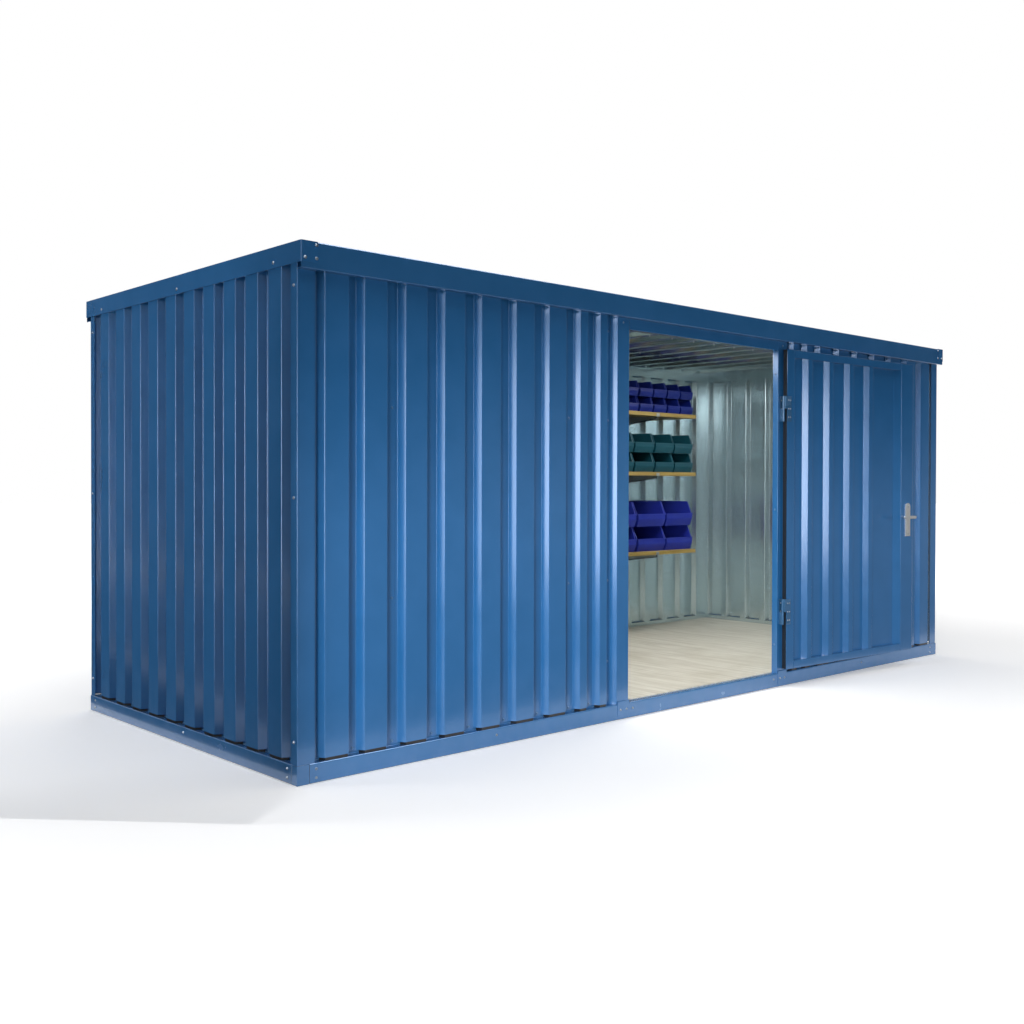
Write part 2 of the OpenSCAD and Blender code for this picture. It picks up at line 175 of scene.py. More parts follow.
# Each lamp's place, the spot it is aimed at, its size and its power in watts. Only the
# room lamp shows in reflections.
for name, place, aim, size, power in (
    ("key", (-16.0, -11.5, 1.7), (0.0, -1.0, 1.1), (5.4, 4.4), 4100),
    ("right", (6.5, -9.0, 1.4), (1.6, -1.0, 1.0), (2.6, 2.0), 230),
    ("low_strip", (-2.2, -4.4, 0.5), (-1.0, -1.0, 0.5), (7.0, 0.5), 28),
    ("left", (-8.5, 3.2, 1.5), (-2.5, 0.0, 1.1), (3.0, 2.0), 310),
    ("overhead", (0.0, -0.5, 6.5), (0, -0.5, 0), (12.0, 8.0), 330),
    ("behind", (3.0, 8.0, 3.0), (0, 0, 1.0), (5.0, 3.0), 260),
    ("room", (0.1, -0.35, 2.02), (0.1, -0.3, 0.0), (3.6, 0.9), 54),
):
    light = bpy.data.lights.new(name, "AREA")
    light.shape = "RECTANGLE"
    light.size, light.size_y = size
    light.energy = power
    lamp = put(name, light)
    lamp.location = place
    lamp.rotation_euler = (Vector(aim) - Vector(place)).to_track_quat("-Z", "Y").to_euler()
    lamp.visible_camera = False
    lamp.visible_glossy = name == "room"


def card_shade(name, axis, start, end, first, last):
    """A card whose glow changes from a first to a last strength along an axis."""
    material, tree = bare_material(name)
    apart = node(tree, "ShaderNodeSeparateXYZ", {0: own_place(tree)}).outputs
    veil = node(
        tree, "ShaderNodeEmission", {"Strength": eased(tree, apart[axis], start, end, first, last)}
    )
    node(tree, "ShaderNodeOutputMaterial", {"Surface": veil})
    return material


def upright(x0, y0, x1, y1, foot, top):
    """Corners of a sheet that stands on a line."""
    return [(x0, y0, foot), (x1, y1, foot), (x1, y1, top), (x0, y0, top)]


def lying(x0, y0, x1, y1, z):
    """Corners of a level sheet."""
    return [(x0, y0, z), (x1, y0, z), (x1, y1, z), (x0, y1, z)]


# Cards that stand out of sight and show only as calm reflections in the enamel.
card_dark = card_shade("dark card", "Z", -3.0, -1.0, 0.03, 0.03)
card_faded = card_shade("faded card", "Z", 0.5, 2.3, 0.25, 0.02)
card_bright = card_shade("bright card", "Y", -3.9, -2.9, 8.0, 2.7)
card_grey = card_shade("grey card", "Z", 0.0, 1.0, 0.22, 0.22)
card_sky = card_shade("sky card", "Z", 0.0, 1.0, 8.0, 8.0)
for name, shade, corners in (
    ("card_left", card_dark, upright(-4.6, 0.2, -4.6, 12.0, 0, 6.0)),
    ("card_ground", card_dark, lying(-4.6, -0.9, -2.6, 12.0, 0.003)),
    ("card_right", card_faded, upright(-1.5, -5.2, 15.0, -5.2, 0.05, 7.0)),
    ("card_far", card_bright, upright(-12.5, -8.6, -12.5, -0.9, 0.01, 3.0)),
    ("card_near", card_grey, upright(-13.0, -9.0, -5.0, -9.0, 0.01, 5.0)),
    ("card_yard", card_grey, lying(-8.0, -8.0, -2.75, -1.5, 0.003)),
    ("card_apron", card_grey, lying(-2.4, -9.0, 15.0, -1.6, 0.003)),
    ("card_sky", card_sky, lying(-7.0, -7.0, 5.0, 0.5, 9.0)),
):
    card = staged(name, corners, shade)
    card.visible_camera = card.visible_diffuse = card.visible_shadow = False
    card.visible_transmission = card.visible_volume_scatter = False

# Flags that only shade: one keeps the key light off the short wall, and also shades the
# ground beside it; the other softens the light toward the eaves.
for name, corners in (
    ("flag_side", upright(-2.90, -1.38, -4.20, 0.10, 0, 2.4)),
    ("flag_top", upright(-7.0, -3.5, 0.0, -3.5, 1.62, 3.2)),
):
    flag = staged(name, corners, card_dark)
    flag.visible_camera = flag.visible_glossy = flag.visible_diffuse = False
    flag.visible_transmission = flag.visible_volume_scatter = False

# ---------------- base frame
# Four beams folded from 3 mm galvanised sheet and coated blue outside, with a bare lip
# that stands up inside the walls, bolted to folded corner pieces.
CORNER_X, CORNER_Y = 2.5295, 1.0545
BEAM_H, BEAM_T, BEAM_FOLD = 0.080, 0.003, 0.006
LIP_X, LIP_Y, LIP_TOP = 2.487, 1.012, 0.112
DOOR_LEFT, DOOR_RIGHT = -0.627, 0.649
POST_RETURN = 0.031


def group(name, kind, takes, gives):
    """An empty node group with named inputs and outputs, and what it takes."""
    tree = bpy.data.node_groups.new(name, kind)
    for way, sockets in (("INPUT", takes), ("OUTPUT", gives)):
        for label, sort in sockets.items():
            tree.interface.new_socket(name=label, in_out=way, socket_type="NodeSocket" + sort)
    return tree, node(tree, "NodeGroupInput").outputs


def noise(tree, place, scale, detail, **more):
    """An uneven grey pattern."""
    values = {"Vector": place, "Scale": scale, "Detail": detail, **more}
    return node(tree, "ShaderNodeTexNoise", values)


def stretched(tree, place, scale):
    """Places drawn out along an axis."""
    return node(tree, "ShaderNodeMapping", {"Vector": place, "Scale": scale})


rolled, come = group(
    "rolled sheet", "ShaderNodeTree", {"Ripple": "Float", "Peel": "Float"},
    {"Height": "Float", "Mottle": "Float"},
)
where = own_place(rolled)
wave = noise(rolled, stretched(rolled, where, (1.0, 1.0, 0.3)), 4.5, 1.0)
waves = maths(rolled, "MULTIPLY", wave, come["Ripple"])
grain_high = maths(rolled, "MULTIPLY_ADD", noise(rolled, where, 520.0, 1.0), come["Peel"], waves)
node(rolled, "NodeGroupOutput", {"Height": grain_high, "Mottle": noise(rolled, where, 7.0, 5.0)})

settled, come = group(
    "dust low down", "ShaderNodeTree", {"Reach": "Float", "Amount": "Float"}, {"Dust": "Float"}
)
where = own_place(settled)
height = node(settled, "ShaderNodeSeparateXYZ", {0: where}).outputs["Z"]
rise = maths(settled, "DIVIDE", height, come["Reach"])
low = maths(settled, "SUBTRACT", 1.0, rise, use_clamp=True)
spread = maths(settled, "MULTIPLY", low, noise(settled, where, 14.0, 6.0))
share = maths(settled, "MULTIPLY", spread, come["Amount"], use_clamp=True)
node(settled, "NodeGroupOutput", {"Dust": share})


def finish(name):
    """A new finish, its tree and its shader."""
    material = bpy.data.materials.new(name)
    material.use_nodes = True
    return material, material.node_tree, material.node_tree.nodes["Principled BSDF"]


def pattern(tree, kind, **values):
    """What a pattern group puts out at its own values."""
    return node(tree, "ShaderNodeGroup", values, node_tree=kind).outputs


def blend(tree, share, first, second, how="MIX"):
    """A colour that goes from a first one to a second one."""
    ends = [c if isinstance(c, bpy.types.NodeSocket) else (*c, 1) for c in (first, second)]
    values = {"Factor": share, "A": ends[0], "B": ends[1]}
    return node(tree, "ShaderNodeMix", values, data_type="RGBA", blend_type=how).outputs["Result"]


def about(tree, share, middle, spread):
    """A gloss that a pattern moves about its middle."""
    return maths(tree, "MULTIPLY_ADD", share, spread, middle - spread / 2)


def relief(tree, height, distance=1.0, strength=1.0):
    """Fine relief in the surface."""
    values = {"Height": height, "Distance": distance, "Strength": strength}
    return node(tree, "ShaderNodeBump", values)


def coated(name, deep, light, rough, ripple=0.0003, peel=0.00002, dust=0.12):
    """Semi-gloss enamel on sheet: a slightly uneven coat, rolled waves and a little dust."""
    material, tree, paint = finish(name)
    sheet = pattern(tree, rolled, Ripple=ripple, Peel=peel)
    foot = pattern(tree, settled, Reach=0.35, Amount=dust)["Dust"]
    coat = blend(tree, sheet["Mottle"], deep, light)
    dull = about(tree, sheet["Mottle"], rough, 0.12)
    dusty = (0.30, 0.33, 0.36)
    values = {
        "Base Color": blend(tree, foot, coat, dusty),
        "Roughness": maths(tree, "MULTIPLY_ADD", foot, 0.3, dull),
        "Normal": relief(tree, sheet["Height"]), "Specular IOR Level": 0.5, "Metallic": 0.2,
        "Coat Weight": 0.8, "Coat Roughness": 0.12,
    }
    feed(tree, paint, values)
    return material


blue = coated("blue enamel", (0.016, 0.118, 0.305), (0.026, 0.145, 0.365), 0.23)

spangle, come = group(
    "zinc spangle", "ShaderNodeTree", {"Size": "Float"},
    {"Flower": "Float", "Streak": "Float", "Height": "Float"},
)
where = own_place(spangle)
bend = node(spangle, "ShaderNodeTexNoise", {"Vector": where, "Scale": 60.0}).outputs["Color"]
values = {
    "Vector": vectors(spangle, "MULTIPLY_ADD", bend, (0.012, 0.012, 0.012), where),
    "Scale": maths(spangle, "DIVIDE", 1.0, come["Size"]),
}
cell = node(spangle, "ShaderNodeTexVoronoi", values, feature="F1").outputs["Color"]
flower = node(spangle, "ShaderNodeSeparateColor", {0: cell}).outputs
streak = noise(spangle, stretched(spangle, where, (9.0, 9.0, 0.7)), 3.0, 4.0)
waves = maths(spangle, "MULTIPLY", noise(spangle, where, 6.0, 1.0), 0.0004)
raised = maths(spangle, "MULTIPLY_ADD", flower["Green"], 0.000004, waves)
values = {"Flower": flower["Red"], "Streak": streak, "Height": raised}
node(spangle, "NodeGroupOutput", values)


def galvanised(name, tint, rough):
    """Bare hot-dip galvanised sheet: zinc flowers of differing gloss, and drawn streaks."""
    material, tree, metal = finish(name)
    flowers = pattern(tree, spangle, Size=0.016)
    halves = [maths(tree, "MULTIPLY", flowers[part], 0.5) for part in ("Flower", "Streak")]
    varied = maths(tree, "ADD", *halves, use_clamp=True)
    values = {
        "Base Color": blend(tree, varied, [c * 0.93 for c in tint], tint),
        "Roughness": about(tree, varied, rough, 0.04), "Normal": relief(tree, flowers["Height"]),
        "Metallic": 0.92,
    }
    feed(tree, metal, values)
    return material


zinc = galvanised("galvanised sheet", (0.64, 0.75, 0.78), 0.24)

# Corner points of a section are rounded like a press fold, drawn out along the run and
# given the sheet's thickness.
folding, come = group(
    "folded sheet",
    "GeometryNodeTree",
    {
        "Section": "Geometry", "Run": "Vector", "Fold radius": "Float", "Thickness": "Float",
        "Outside": "Material", "Inside": "Material",
    },
    {"Sheet": "Geometry"},
)
values = {
    "Curve": node(folding, "GeometryNodeMeshToCurve", {"Mesh": come["Section"]}),
    "Radius": come["Fold radius"], "Count": 3, "Limit Radius": True,
}
rounded = node(folding, "GeometryNodeFilletCurve", values, mode="POLY")
edge = node(folding, "GeometryNodeCurveToMesh", {"Curve": rounded})
values = {"Mesh": edge, "Offset": come["Run"], "Offset Scale": 1.0}
drawn = node(folding, "GeometryNodeExtrudeMesh", values, mode="EDGES")
values = {"Mesh": drawn, "Offset Scale": come["Thickness"], "Individual": False}
skin = node(folding, "GeometryNodeExtrudeMesh", values, mode="FACES")
shell = node(folding, "GeometryNodeJoinGeometry")
for face, side in ((skin, "Inside"), (drawn, "Outside")):
    values = {"Geometry": face, "Material": come[side]}
    feed(folding, shell, {"Geometry": node(folding, "GeometryNodeSetMaterial", values)})
values = {"Geometry": shell, "Distance": 0.00001}
node(folding, "NodeGroupOutput", {"Sheet": node(folding, "GeometryNodeMergeByDistance", values)})


def plain(thing):
    """The mesh of a thing with its modifiers made real; the thing itself goes."""
    shown = bpy.context.evaluated_depsgraph_get()
    mesh = bpy.data.meshes.new_from_object(thing.evaluated_get(shown))
    bpy.data.objects.remove(thing)
    return mesh


def made(tree, start, values):
    """The plain mesh that a node tree makes from a start mesh."""
    holder = put("start", start)
    modifier = holder.modifiers.new("make", "NODES")
    modifier.node_group = tree
    names = {s.name: s.identifier for s in tree.interface.items_tree if s.item_type == "SOCKET"}
    for name, value in values.items():
        modifier[names[name]] = value
    return plain(holder)


def folded(corners, run, thick, radius=0.004, outside=blue, inside=zinc):
    """Sheet folded along corner points; positive thickness lies beyond the drawing."""
    start = bpy.data.meshes.new("section")
    pairs = [(i, i + 1) for i in range(len(corners) - 1)]
    start.from_pydata([tuple(c) for c in corners], pairs, [])
    values = {
        "Run": tuple(run), "Fold radius": radius, "Thickness": thick, "Outside": outside,
        "Inside": inside,
    }
    return made(folding, start, values)


def kept_flat(thing):
    """Rounded edges don't bend the shading of the flat faces between them."""
    flat = thing.modifiers.new("flat faces", "WEIGHTED_NORMAL")
    flat.keep_sharp = True


def broken(thing, width):
    """A thing's sharp arrises are broken."""
    arris = thing.modifiers.new("arris", "BEVEL")
    arris.width = width
    arris.segments = 2
    arris.limit_method = "ANGLE"
    arris.angle_limit = math.radians(40)


def piece(name, meshes, slot, *stands_for, body="container", place=None, arris=0):
    """One object from several meshes, its normals outward and its flat faces kept flat."""
    joined = bmesh.new()
    materials = []
    for mesh in meshes:
        part = bmesh.new()
        part.from_mesh(mesh)
        bmesh.ops.recalc_face_normals(part, faces=part.faces)
        for face in part.faces:
            material = mesh.materials[min(face.material_index, len(mesh.materials) - 1)]
            if material not in materials:
                materials.append(material)
            face.material_index = materials.index(material)
            face.smooth = True
        part.to_mesh(mesh)
        part.free()
        joined.from_mesh(mesh)
    if place is not None:
        joined.transform(place)
    whole = bpy.data.meshes.new(name)
    joined.to_mesh(whole)
    joined.free()
    for material in materials:
        whole.materials.append(material)
    whole.set_sharp_from_angle(angle=math.radians(35))
    thing = put(name, whole)
    if arris:
        broken(thing, arris)
    kept_flat(thing)
    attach(thing, body)
    if stands_for:
        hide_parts(*stands_for)


def moved(meshes, turn):
    """Copies of meshes, moved or mirrored."""
    copies = [mesh.copy() for mesh in meshes]
    for copy in copies:
        copy.transform(turn)
    return copies


def mirrored(meshes, axis):
    """Copies of meshes on the other side of the container."""
    return moved(meshes, Matrix.Scale(-1, 4, Vector((axis == "x", axis == "y", 0))))


reach_x, reach_y = CORNER_X - 0.058, CORNER_Y - 0.043


def base_section(face, lip, top):
    """Channel and inside lip of a base beam, as distances outward and upward."""
    corners = [(lip - 0.010, 0.0), (face, 0.0), (face, BEAM_H), (lip, BEAM_H), (lip, top)]
    return corners if top > BEAM_H else corners[:-2] + [(lip - BEAM_T, BEAM_H)]


def long_base(x0, x1, top):
    """A length of the front or rear beam, with or without its lip."""
    corners = [(x0, -a, b) for a, b in base_section(CORNER_Y, LIP_Y, top)]
    return folded(corners, (x1 - x0, 0, 0), -BEAM_T, BEAM_FOLD)


cut_left, cut_right = DOOR_LEFT - POST_RETURN, DOOR_RIGHT + POST_RETURN
front_base = [
    long_base(-reach_x, cut_left, LIP_TOP), long_base(cut_left, cut_right, BEAM_H),
    long_base(cut_right, reach_x, LIP_TOP),
]
rear_base = mirrored([long_base(-reach_x, reach_x, LIP_TOP)], "y")
side_corners = [(-a, -reach_y, b) for a, b in base_section(CORNER_X, LIP_X, LIP_TOP)]
left_base = [folded(side_corners, (0, 2 * reach_y, 0), BEAM_T, BEAM_FOLD)]
for side, meshes in (
    ("front", front_base), ("rear", rear_base), ("left", left_base),
    ("right", mirrored(left_base, "x")),
):
    beam = "base_beam_" + side
    piece(beam + "_coated", meshes, "blue_paint", beam)


def softened(name, material, width=0.001):
    """A CAD node keeps its shape, with its sharp arrises broken."""
    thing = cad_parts[name]
    thing.data.materials.clear()
    thing.data.materials.append(material)
    weld = thing.modifiers.new("weld", "WELD")
    weld.merge_threshold = 0.00002
    broken(thing, width)
    kept_flat(thing)


softened("base_corners", blue)


def scattered(tree, spots, shape, coat, result, turn=None):
    """Ends a tree: one shape on every spot, made real and given its material."""
    placed = node(tree, "GeometryNodeInstanceOnPoints", {"Points": spots, "Instance": shape})
    if turn:
        feed(tree, placed, {"Rotation": turn})
    real = node(tree, "GeometryNodeRealizeInstances", {"Geometry": placed})
    values = {"Geometry": real, "Material": coat}
    node(tree, "NodeGroupOutput", {result: node(tree, "GeometryNodeSetMaterial", values)})


# Round-headed machine screws and hexagon screws in bright zinc, each on a washer: one
# tree seats them on listed spots, every head turned at random as a spanner leaves it.
WASHER_T = 0.0014
fastening, come = group(
    "screws on washers",
    "GeometryNodeTree",
    {
        "Spots": "Geometry", "Washer radius": "Float", "Head radius": "Float",
        "Head height": "Float", "Sides": "Int", "Metal": "Material",
    },
    {"Screws": "Geometry"},
)
washer, head = (
    node(
        fastening,
        "GeometryNodeMeshCone",
        {
            "Vertices": sides, "Depth": deep, "Radius Bottom": radius,
            "Radius Top": maths(fastening, "MULTIPLY", radius, crown),
        },
    )
    for sides, deep, radius, crown in (
        (14, WASHER_T, come["Washer radius"], 0.9),
        (come["Sides"], come["Head height"], come["Head radius"], 0.78),
    )
)
values = {"Geometry": head, "Translation": (0, 0, WASHER_T)}
seated = node(fastening, "GeometryNodeTransform", values)
screw = node(fastening, "GeometryNodeJoinGeometry", {"Geometry": washer})
feed(fastening, screw, {"Geometry": seated})
facing = node(
    fastening, "GeometryNodeInputNamedAttribute", {"Name": "facing"}, data_type="FLOAT_VECTOR"
)
aimed = node(fastening, "FunctionNodeAlignRotationToVector", {"Vector": facing}, axis="Z")
chance = node(fastening, "FunctionNodeRandomValue", {"Seed": 11}, data_type="FLOAT")
turned = maths(fastening, "MULTIPLY", chance.outputs[1], math.tau)
values = {"Axis": (0, 0, 1), "Angle": turned}
spin = node(fastening, "FunctionNodeAxisAngleToRotation", values)
values = {"Rotation": aimed, "Rotate By": spin}
tight = node(fastening, "FunctionNodeRotateRotation", values, rotation_space="LOCAL")
scattered(fastening, come["Spots"], screw, come["Metal"], "Screws", tight)

bright = galvanised("bright zinc screw", (0.26, 0.31, 0.37), 0.34)


def screws(spots, washer=0.0062, head=0.0044, high=0.0036, sides=6, metal=bright):
    """Screw heads on washers, at spots given as a place and the way that it faces."""
    start = bpy.data.meshes.new("spots")
    start.from_pydata([place for place, way in spots], [], [])
    facing = start.attributes.new("facing", "FLOAT_VECTOR", "POINT")
    for i, (place, way) in enumerate(spots):
        facing.data[i].vector = way
    values = {
        "Washer radius": washer, "Head radius": head, "Head height": high, "Sides": sides,
        "Metal": metal,
    }
    return made(fastening, start, values)


FRONT, REAR, LEFT, RIGHT = (0, -1, 0), (0, 1, 0), (-1, 0, 0), (1, 0, 0)


def round_about(spots):
    """The same spots on the opposite face, as the two long or the two short sides match."""
    return spots + [
        ((x, -y, z), (a, -b, c)) if b else ((-x, y, z), (-a, b, c))
        for (x, y, z), (a, b, c) in spots
    ]


base_spots = [((x, -CORNER_Y, z), FRONT) for x in (-2.442, 2.442) for z in (0.057, 0.021)]
base_spots += [((-CORNER_X, y, z), LEFT) for y in (-0.981, 0.981) for z in (0.060, 0.024)]
base_spots = round_about(base_spots + [((-CORNER_X, -0.05, 0.056), LEFT)])
MID_BEAM = 0.048
base_spots += [((x, -CORNER_Y, MID_BEAM), FRONT) for x in (-1.507, -0.600, 0.610, 1.557)]
base_spots += [((x, CORNER_Y, MID_BEAM), REAR) for x in (-1.507, 0.0, 1.557)]
piece("base_bolts", [screws(base_spots)], "galvanised")

# ---------------- floor
# Five softwood bearers lie on the ground between the beams. Sanded panels run across
# them from front to rear, butted with hairline joints, level with the doorway sill.
DECK_TOP, DECK_T = 0.085, 0.021
DECK_X, DECK_Y = 2.482, 1.007
JOINT_GAP = 0.0015
FIRST_JOINT, PANEL, WHOLE_PANELS = -2.30, 0.62, 7

grain, come = group(
    "wood grain", "ShaderNodeTree", {"Along": "Vector", "Rings": "Float"},
    {"Grain": "Float", "Blotch": "Float"},
)
where = own_place(grain)
drawn = vectors(grain, "MULTIPLY", where, come["Along"])
values = {
    "Grain": noise(grain, drawn, come["Rings"], 6.0, Roughness=0.62),
    "Blotch": noise(grain, where, 3.2, 3.0),
}
node(grain, "NodeGroupOutput", values)


def timber(name, dark, light, along, rings, rough, deep):
    """Wood with its grain drawn out along the board and a few paler and darker patches."""
    material, tree, wood = finish(name)
    figure = pattern(tree, grain, Along=along, Rings=rings)
    streak, soft = (
        node(tree, "ShaderNodeMapRange", {"Value": figure[part], "From Min": a, "From Max": b})
        for part, a, b in (("Grain", 0.34, 0.66), ("Blotch", 0.5, 0.8))
    )
    tone = blend(tree, streak, dark, light)
    values = {
        "Base Color": blend(tree, soft, tone, (0.82, 0.80, 0.76), "MULTIPLY"),
        "Roughness": about(tree, figure["Grain"], rough, 0.16),
        "Normal": relief(tree, figure["Grain"], deep, 0.6), "Specular IOR Level": 0.35,
    }
    feed(tree, wood, values)
    return material


deck_wood = timber(
    "sanded floor panel", (0.44, 0.40, 0.32), (0.60, 0.57, 0.49), (14, 0.9, 14), 3.0, 0.55,
    0.0006,
)
bearer_wood = timber(
    "rough softwood", (0.30, 0.20, 0.11), (0.52, 0.38, 0.23), (0.8, 20, 20), 3.0, 0.78, 0.0012,
)
softened("floor_bearers", bearer_wood, 0.003)

laying, come = group(
    "panels side by side",
    "GeometryNodeTree",
    {
        "Ground": "Geometry", "Count": "Int", "Panel size": "Vector",
        "Middle of the first": "Vector", "Step": "Vector", "Wood": "Material",
    },
    {"Panels": "Geometry"},
)
values = {
    "Count": come["Count"], "Start Location": come["Middle of the first"], "Offset": come["Step"],
}
row = node(laying, "GeometryNodeMeshLine", values)
panel = node(laying, "GeometryNodeMeshCube", {"Size": come["Panel size"]})
scattered(laying, row, panel, come["Wood"], "Panels")


def panels(x0, x1, count):
    """Equal floor panels filling x0 to x1."""
    pitch = (x1 - x0) / count
    values = {
        "Count": count, "Panel size": (pitch - JOINT_GAP, 2 * DECK_Y, DECK_T),
        "Middle of the first": (x0 + pitch / 2, 0, DECK_TOP - DECK_T / 2), "Step": (pitch, 0, 0),
        "Wood": deck_wood,
    }
    return made(laying, bpy.data.meshes.new("bare"), values)


last_joint = FIRST_JOINT + PANEL * WHOLE_PANELS
floor = [
    panels(-DECK_X, FIRST_JOINT, 1), panels(FIRST_JOINT, last_joint, WHOLE_PANELS),
    panels(last_joint, DECK_X, 1),
]
piece("floor_panels", floor, "floor_timber", "floor_deck", arris=0.0012)

# ---------------- corner posts
# Angles folded from thin sheet stand on the base corners. They are coated blue and
# close the ends of the wall sheets, each side leg screwed to them three times.
POST_X, POST_Y = 2.525, 1.050
POST_LEG_X, POST_LEG_Y, SHEET_T, POST_FOLD = 0.078, 0.050, 0.0015, 0.003
WALL_FOOT, WALL_HEAD = 0.092, 2.080

angle_corners = [
    (-POST_X + POST_LEG_X, -POST_Y, BEAM_H), (-POST_X, -POST_Y, BEAM_H),
    (-POST_X, -POST_Y + POST_LEG_Y, BEAM_H),
]
posts = {"front_left": [folded(angle_corners, (0, 0, WALL_HEAD - BEAM_H), -SHEET_T, POST_FOLD)]}
posts["front_right"] = mirrored(posts["front_left"], "x")
posts["rear_left"] = mirrored(posts["front_left"], "y")
posts["rear_right"] = mirrored(posts["rear_left"], "x")
for corner, meshes in posts.items():
    piece("corner_post_coated_" + corner, meshes, "blue_paint", "corner_post_" + corner)

post_spots = [((-POST_X, y, z), LEFT) for y in (-1.024, 1.024) for z in (0.17, 1.14, 1.98)]
post_screws = screws(round_about(post_spots), 0.0068, 0.0046, 0.0035)
piece("corner_post_screws", [post_screws], "galvanised")

# ---------------- walls
# Trapezoidal steel sheet 35 mm deep, coated blue outside and left galvanised inside.
# Sheets lap in a trough, and screws hold them to each other and to the base lips.
FACE_X, FACE_Y = 2.5235, 1.0485
RIB_D, RIB_RUN, RIB_PITCH, RIDGE, RIB_FOLD = 0.035, 0.020, 0.207, 0.112, 0.0045
POST_OUT_LEFT, POST_OUT_RIGHT = -0.713, 0.735
LAP, WALL_START, WALL_END = 0.012, 0.006, 2.486


def ribbed(start, ridges, end):
    """Distances along a sheet and depths behind its ridges; the last ridge may be cut."""
    corners = [(start, RIB_D)]
    for a, b in ridges:
        corners += [(a - RIB_RUN, RIB_D), (a, 0.0), (min(b, end), 0.0)]
        if b < end:
            corners.append((b + RIB_RUN, RIB_D))
    return corners if corners[-1][0] == end else corners + [(end, RIB_D)]


def lapped(
    start, ridges, end, laps, place, thick, run=(0, 0, WALL_HEAD - WALL_FOOT), under=0.0018,
    outside=blue,
):
    """Sheets that lap in the troughs at laps, every other one under its neighbours."""
    stops = [start, *laps, end]
    sheets = []
    for i, (a, b) in enumerate(zip(stops, stops[1:])):
        mine = [r for r in ridges if a < r[0] < b]
        first, last = a - (LAP if i else 0), b + (LAP if b != end else 0)
        deeper = under if i % 2 else 0.0
        line = [place(s, d + deeper) for s, d in ribbed(first, mine, last)]
        sheets.append(folded(line, run, thick, RIB_FOLD, outside))
    return sheets


def on_front(post, way):
    """Places on the front wall, at a distance from a door post and a depth behind it."""
    return lambda s, depth, z=WALL_FOOT: (post + way * s, -FACE_Y + depth, z)


def on_side(way):
    """Places on a side wall."""
    return lambda s, depth, z=WALL_FOOT: (way * (FACE_X - depth), s, z)


def on_rear(s, depth, z=WALL_FOOT):
    """Places on the rear wall."""
    return (s, FACE_Y - depth, z)


on_front_left, on_front_right = on_front(POST_OUT_LEFT, -1), on_front(POST_OUT_RIGHT, 1)
on_left, on_right = on_side(-1), on_side(1)

# The front sheets start with two narrow ridges beside the door post; the last wide one
# stands 20 mm closer to its neighbour.
FIRST_WIDE, CLOSER = 0.352, 0.020
wide = [FIRST_WIDE + RIB_PITCH * k for k in range(6)]
wide.append(FIRST_WIDE + RIB_PITCH * 6 - CLOSER)
front_ridges = [(0.071, 0.121), (0.209, 0.259)] + [(a, a + RIDGE) for a in wide]
front_laps = [0.3055, FIRST_WIDE + RIB_PITCH * 5 - 0.0475]
for side, end, place, thick in (
    ("left", POST_OUT_LEFT + WALL_END, on_front_left, -SHEET_T),
    ("right", WALL_END - POST_OUT_RIGHT, on_front_right, SHEET_T),
):
    sheets = lapped(WALL_START, front_ridges, end, front_laps, place, thick)
    wall = "front_wall_" + side
    piece(wall + "_sheets", sheets, "blue_paint", wall)

SIDE_PITCH, SIDE_RIDGE, SIDE_END = 0.194, 0.104, 1.0445


def side_ridges(first):
    """Ridges of a side wall from its first one to the rear, where the last may be cut."""
    starts = [first + SIDE_PITCH * k for k in range(11)]
    return [(a, a + SIDE_RIDGE) for a in starts if a < SIDE_END]


left_ridges, right_ridges = side_ridges(-0.9235), side_ridges(-0.8735)
left_laps, right_laps = ([r[5][0] - 0.045] for r in (left_ridges, right_ridges))
left_sheets = lapped(-SIDE_END, left_ridges, SIDE_END, left_laps, on_left, -SHEET_T)
right_sheets = lapped(-SIDE_END, right_ridges, SIDE_END, right_laps, on_left, -SHEET_T)
piece("left_wall_sheets", left_sheets, "blue_paint", "left_wall")
piece("right_wall_sheets", mirrored(right_sheets, "x"), "blue_paint", "right_wall")

rear_middles = [RIB_PITCH * k for k in range(-11, 12)]
rear_ridges = [(m - RIDGE / 2, m + RIDGE / 2) for m in rear_middles]
rear_laps = [RIB_PITCH * (k + 0.5) for k in (-8, -3, 2, 7)]
rear_sheets = lapped(-WALL_END, rear_ridges, WALL_END, rear_laps, on_rear, -SHEET_T)
piece("rear_wall_sheets", rear_sheets, "blue_paint", "rear_wall")


def troughs(ridges):
    """The middles of the troughs between ridges."""
    return [(a[1] + b[0]) / 2 for a, b in zip(ridges, ridges[1:])]


FOOT_ROW, LAP_ROWS, POST_ROWS = 0.101, (0.71, 1.52), (0.30, 0.71, 1.52, 1.97)
wall_spots = []
for place, ridges, laps, way in (
    (on_front_left, front_ridges, front_laps, FRONT),
    (on_front_right, front_ridges, front_laps, FRONT), (on_left, left_ridges, left_laps, LEFT),
    (on_right, right_ridges, right_laps, RIGHT), (on_rear, rear_ridges, rear_laps, REAR),
):
    wall_spots += [(place(s, RIB_D, FOOT_ROW), way) for s in troughs(ridges)]
    wall_spots += [(place(s, RIB_D, z), way) for s in laps for z in LAP_ROWS]
    if way == FRONT:
        wall_spots += [(place(0.035, RIB_D - SHEET_T, z), way) for z in POST_ROWS]
blue_head = coated("blue screw head", (0.030, 0.120, 0.260), (0.06, 0.18, 0.34), 0.30, 0.0)
SMALL = (0.0062, 0.0042, 0.0034)
piece("wall_screws", [screws(wall_spots, *SMALL, metal=blue_head)], "blue_paint")

# Black blocks at the feet of the ridges, just behind the sheet, are painted shade: they
# blacken the gaps under the ridges.
painted_shade = coated("black foam", (0.004, 0.004, 0.005), (0.010, 0.010, 0.011), 0.75, dust=0)


